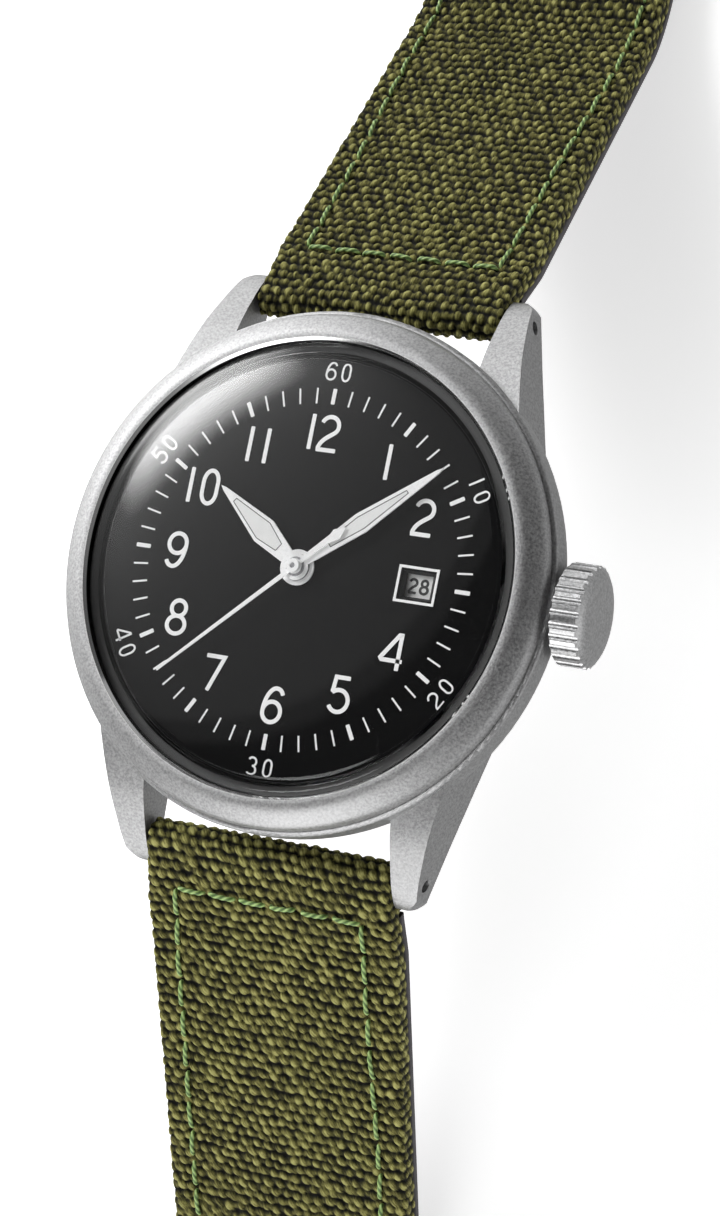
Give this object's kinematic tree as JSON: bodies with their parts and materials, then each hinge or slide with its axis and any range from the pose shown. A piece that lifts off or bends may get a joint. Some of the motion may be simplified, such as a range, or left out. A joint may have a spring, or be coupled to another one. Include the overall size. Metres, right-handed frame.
{
  "type": "field watch",
  "caption": "Field watch with a domed crystal, black dial with calendar window, fluted crown, and a canvas strap with pin buckle, opened out and standing on its strap.",
  "frame": {"origin": "centre of the case back's outer face", "axes": "+Z towards the dial side, +Y towards 12 o'clock along the strap, +X towards the crown"},
  "size_m": [0.0416, 0.2323, 0.0302],
  "materials": {
    "blasted_steel": "bead-blasted stainless steel",
    "polished_steel": "satin to polished stainless steel",
    "buckle_steel": "bead-blasted stainless steel",
    "crystal_glass": "clear domed crystal",
    "black_rubber": "black rubber",
    "dial_black": "matte black lacquer on brass, white print",
    "date_white": "matte off-white print",
    "hand_white": "polished steel rim",
    "lume": "matte white luminous fill",
    "canvas": "olive basket-weave canvas",
    "lining": "dark grey-brown backing",
    "keeper_canvas": "olive canvas loop",
    "nickel_plate": "nickel-plated brass",
    "rotor_metal": "heavy metal, brushed",
    "gilt_brass": "gilt brass",
    "movement_steel": "hardened steel"
  },
  "bodies": {
    "case": {"mid_case": "blasted_steel", "bezel": "blasted_steel", "crystal": "crystal_glass", "crystal_gasket": "black_rubber", "dial": "dial_black", "case_back": "polished_steel", "case_back_gasket": "black_rubber", "movement_holder": "nickel_plate", "crown_tube": "polished_steel", "main_plate": "nickel_plate", "train_bridge": "nickel_plate", "balance_cock": "nickel_plate", "pallet_cock": "nickel_plate", "bridge_screws": "movement_steel", "hairspring": "gilt_brass", "date_jumper": "movement_steel", "spring_bar_12": "polished_steel", "spring_bar_6": "polished_steel"},
    "crown_seal": {"crown_gasket": "black_rubber"},
    "crown_stem": {"crown": "blasted_steel", "winding_stem": "movement_steel"},
    "clutch": {"sliding_pinion": "movement_steel"},
    "winding_pinion": {"winding_pinion": "movement_steel"},
    "crown_wheel": {"crown_wheel": "movement_steel"},
    "ratchet": {"ratchet_wheel": "movement_steel", "barrel_arbor": "movement_steel"},
    "click": {"click": "movement_steel"},
    "setting_lever": {"setting_lever": "movement_steel"},
    "yoke": {"yoke": "movement_steel"},
    "setting_wheel": {"setting_wheel": "movement_steel"},
    "minute_hand": {"minute_hand": "hand_white", "minute_lume": "lume", "cannon_pinion": "movement_steel"},
    "hour_hand": {"hour_hand": "hand_white", "hour_lume": "lume", "hour_wheel": "gilt_brass"},
    "minute_wheel": {"minute_wheel": "gilt_brass"},
    "date_drive": {"date_driving_wheel": "gilt_brass"},
    "date_ring": {"date_ring": "date_white"},
    "seconds_hand": {"seconds_hand": "hand_white", "fourth_wheel": "gilt_brass"},
    "third_wheel": {"third_wheel": "gilt_brass"},
    "center_wheel": {"center_wheel": "gilt_brass"},
    "escape_wheel": {"escape_wheel": "gilt_brass"},
    "barrel": {"mainspring_barrel": "gilt_brass", "mainspring": "movement_steel"},
    "pallet_fork": {"pallet_fork": "movement_steel"},
    "balance": {"balance_wheel": "gilt_brass"},
    "rotor": {"rotor": "rotor_metal"},
    "bar_tip_12": {"spring_bar_12_tip": "polished_steel"},
    "bar_tip_6": {"spring_bar_6_tip": "polished_steel"},
    "strap_12": {"strap_12_canvas": "canvas", "strap_12_lining": "lining", "buckle_bar": "polished_steel", "fixed_keeper": "keeper_canvas"},
    "strap_6": {"strap_6_canvas": "canvas", "strap_6_lining": "lining"},
    "buckle": {"buckle_frame": "buckle_steel"},
    "tongue": {"buckle_tongue": "buckle_steel"},
    "sliding_keeper": {"sliding_keeper": "keeper_canvas"}
  },
  "joints": [
    {"name": "crown_pull", "type": "slide", "parent": "case", "child": "crown_seal", "axis": [1, 0, 0], "range_m": [0, 0.0012]},
    {"name": "crown_turn", "type": "hinge", "parent": "crown_seal", "child": "crown_stem", "pos_m": [0, 0, 0.004], "axis": [1, 0, 0], "continuous": true},
    {"name": "clutch_slide", "type": "slide", "parent": "crown_stem", "child": "clutch", "axis": [1, 0, 0], "range_m": [-0.0021, 0]},
    {"name": "winding_pinion_turn", "type": "hinge", "parent": "case", "child": "winding_pinion", "pos_m": [0.0107, 0, 0.004], "axis": [1, 0, 0], "continuous": true},
    {"name": "crown_wheel_turn", "type": "hinge", "parent": "case", "child": "crown_wheel", "pos_m": [0.0083, 0, 0.0024], "axis": [0, 0, 1], "continuous": true},
    {"name": "ratchet_turn", "type": "hinge", "parent": "case", "child": "ratchet", "pos_m": [0.00318, 0.00379, 0.0024], "axis": [0, 0, 1], "continuous": true},
    {"name": "click_rock", "type": "hinge", "parent": "case", "child": "click", "pos_m": [0.00558, 0.0083, 0.0024], "axis": [0, 0, 1], "range_deg": [-8, 0], "stiffness_Nm_per_rad": 0.00002},
    {"name": "setting_lever_turn", "type": "hinge", "parent": "case", "child": "setting_lever", "pos_m": [0.012, 0.0026, 0.0051], "axis": [0, 0, 1], "range_deg": [0, 32]},
    {"name": "yoke_turn", "type": "hinge", "parent": "case", "child": "yoke", "pos_m": [0.0087, -0.0033, 0.0053], "axis": [0, 0, 1], "range_deg": [0, 22]},
    {"name": "setting_wheel_turn", "type": "hinge", "parent": "case", "child": "setting_wheel", "pos_m": [0.00579, 0, 0.0052], "axis": [0, 0, 1], "continuous": true},
    {"name": "minute_turn", "type": "hinge", "parent": "case", "child": "minute_hand", "pos_m": [0, 0, 0.0076], "axis": [0, 0, 1], "continuous": true},
    {"name": "hour_turn", "type": "hinge", "parent": "case", "child": "hour_hand", "pos_m": [0, 0, 0.0073], "axis": [0, 0, 1], "continuous": true},
    {"name": "minute_wheel_turn", "type": "hinge", "parent": "case", "child": "minute_wheel", "pos_m": [0.00246, -0.00172, 0.0052], "axis": [0, 0, 1], "continuous": true},
    {"name": "date_drive_turn", "type": "hinge", "parent": "case", "child": "date_drive", "pos_m": [-0.00123, 0.00338, 0.0059], "axis": [0, 0, 1], "continuous": true},
    {"name": "date_ring_turn", "type": "hinge", "parent": "case", "child": "date_ring", "pos_m": [0, 0, 0.0061], "axis": [0, 0, 1], "continuous": true},
    {"name": "seconds_turn", "type": "hinge", "parent": "case", "child": "seconds_hand", "pos_m": [0, 0, 0.0079], "axis": [0, 0, 1], "continuous": true},
    {"name": "third_wheel_turn", "type": "hinge", "parent": "case", "child": "third_wheel", "pos_m": [-0.00258, 0.00369, 0.0029], "axis": [0, 0, 1], "continuous": true},
    {"name": "center_wheel_turn", "type": "hinge", "parent": "case", "child": "center_wheel", "pos_m": [0, 0, 0.003], "axis": [0, 0, 1], "continuous": true},
    {"name": "escape_wheel_turn", "type": "hinge", "parent": "case", "child": "escape_wheel", "pos_m": [-0.00418, -0.00152, 0.0035], "axis": [0, 0, 1], "continuous": true},
    {"name": "barrel_turn", "type": "hinge", "parent": "case", "child": "barrel", "pos_m": [0.00318, 0.00379, 0.0036], "axis": [0, 0, 1], "continuous": true},
    {"name": "pallet_rock", "type": "hinge", "parent": "case", "child": "pallet_fork", "pos_m": [-0.00417, -0.00406, 0.0035], "axis": [0, 0, 1], "range_deg": [-5, 5]},
    {"name": "balance_swing", "type": "hinge", "parent": "case", "child": "balance", "pos_m": [-0.00416, -0.00707, 0.0029], "axis": [0, 0, 1], "range_deg": [-150, 150], "stiffness_Nm_per_rad": 0.00000017},
    {"name": "rotor_turn", "type": "hinge", "parent": "case", "child": "rotor", "pos_m": [0, 0, 0.0013], "axis": [0, 0, 1], "continuous": true},
    {"name": "bar_tip_12_press", "type": "slide", "parent": "case", "child": "bar_tip_12", "axis": [1, 0, 0], "range_m": [-0.0019, 0], "stiffness_N_per_m": 500},
    {"name": "bar_tip_6_press", "type": "slide", "parent": "case", "child": "bar_tip_6", "axis": [1, 0, 0], "range_m": [-0.0019, 0], "stiffness_N_per_m": 500},
    {"name": "strap_12_pivot", "type": "hinge", "parent": "case", "child": "strap_12", "pos_m": [0, 0.0207, 0.0018], "axis": [1, 0, 0], "range_deg": [-75, 70]},
    {"name": "strap_6_pivot", "type": "hinge", "parent": "case", "child": "strap_6", "pos_m": [0, -0.0207, 0.0018], "axis": [-1, 0, 0], "range_deg": [-75, 70]},
    {"name": "buckle_swing", "type": "hinge", "parent": "strap_12", "child": "buckle", "pos_m": [0, 0.08989, -0.01848], "axis": [1, 0, 0], "range_deg": [-25, 25]},
    {"name": "tongue_swing", "type": "hinge", "parent": "buckle", "child": "tongue", "pos_m": [0, 0.08989, -0.01848], "axis": [1, 0, 0], "range_deg": [0, 70]},
    {"name": "keeper_slide", "type": "slide", "parent": "strap_12", "child": "sliding_keeper", "axis": [0, 1, 0], "range_m": [-0.006, 0.009]}
  ],
  "couplings": [
    {"joint": "clutch_slide", "follows": "crown_pull", "ratio": -1.7083},
    {"joint": "winding_pinion_turn", "follows": "crown_turn", "ratio": 1},
    {"joint": "crown_wheel_turn", "follows": "crown_turn", "ratio": 0.71429},
    {"joint": "ratchet_turn", "follows": "crown_turn", "ratio": -0.38462},
    {"joint": "setting_lever_turn", "follows": "crown_pull", "rad_per_m": 455.97},
    {"joint": "yoke_turn", "follows": "crown_pull", "rad_per_m": 303.69},
    {"joint": "hour_turn", "follows": "minute_turn", "ratio": 0.083333},
    {"joint": "minute_wheel_turn", "follows": "minute_turn", "ratio": -0.33333},
    {"joint": "setting_wheel_turn", "follows": "minute_turn", "ratio": 0.5},
    {"joint": "date_drive_turn", "follows": "minute_turn", "ratio": -0.041667},
    {"joint": "date_ring_turn", "follows": "minute_turn", "ratio": -0.0013441},
    {"joint": "third_wheel_turn", "follows": "seconds_turn", "ratio": -0.13333},
    {"joint": "center_wheel_turn", "follows": "seconds_turn", "ratio": 0.016667},
    {"joint": "escape_wheel_turn", "follows": "seconds_turn", "ratio": -10},
    {"joint": "barrel_turn", "follows": "seconds_turn", "ratio": -0.0025641}
  ]
}
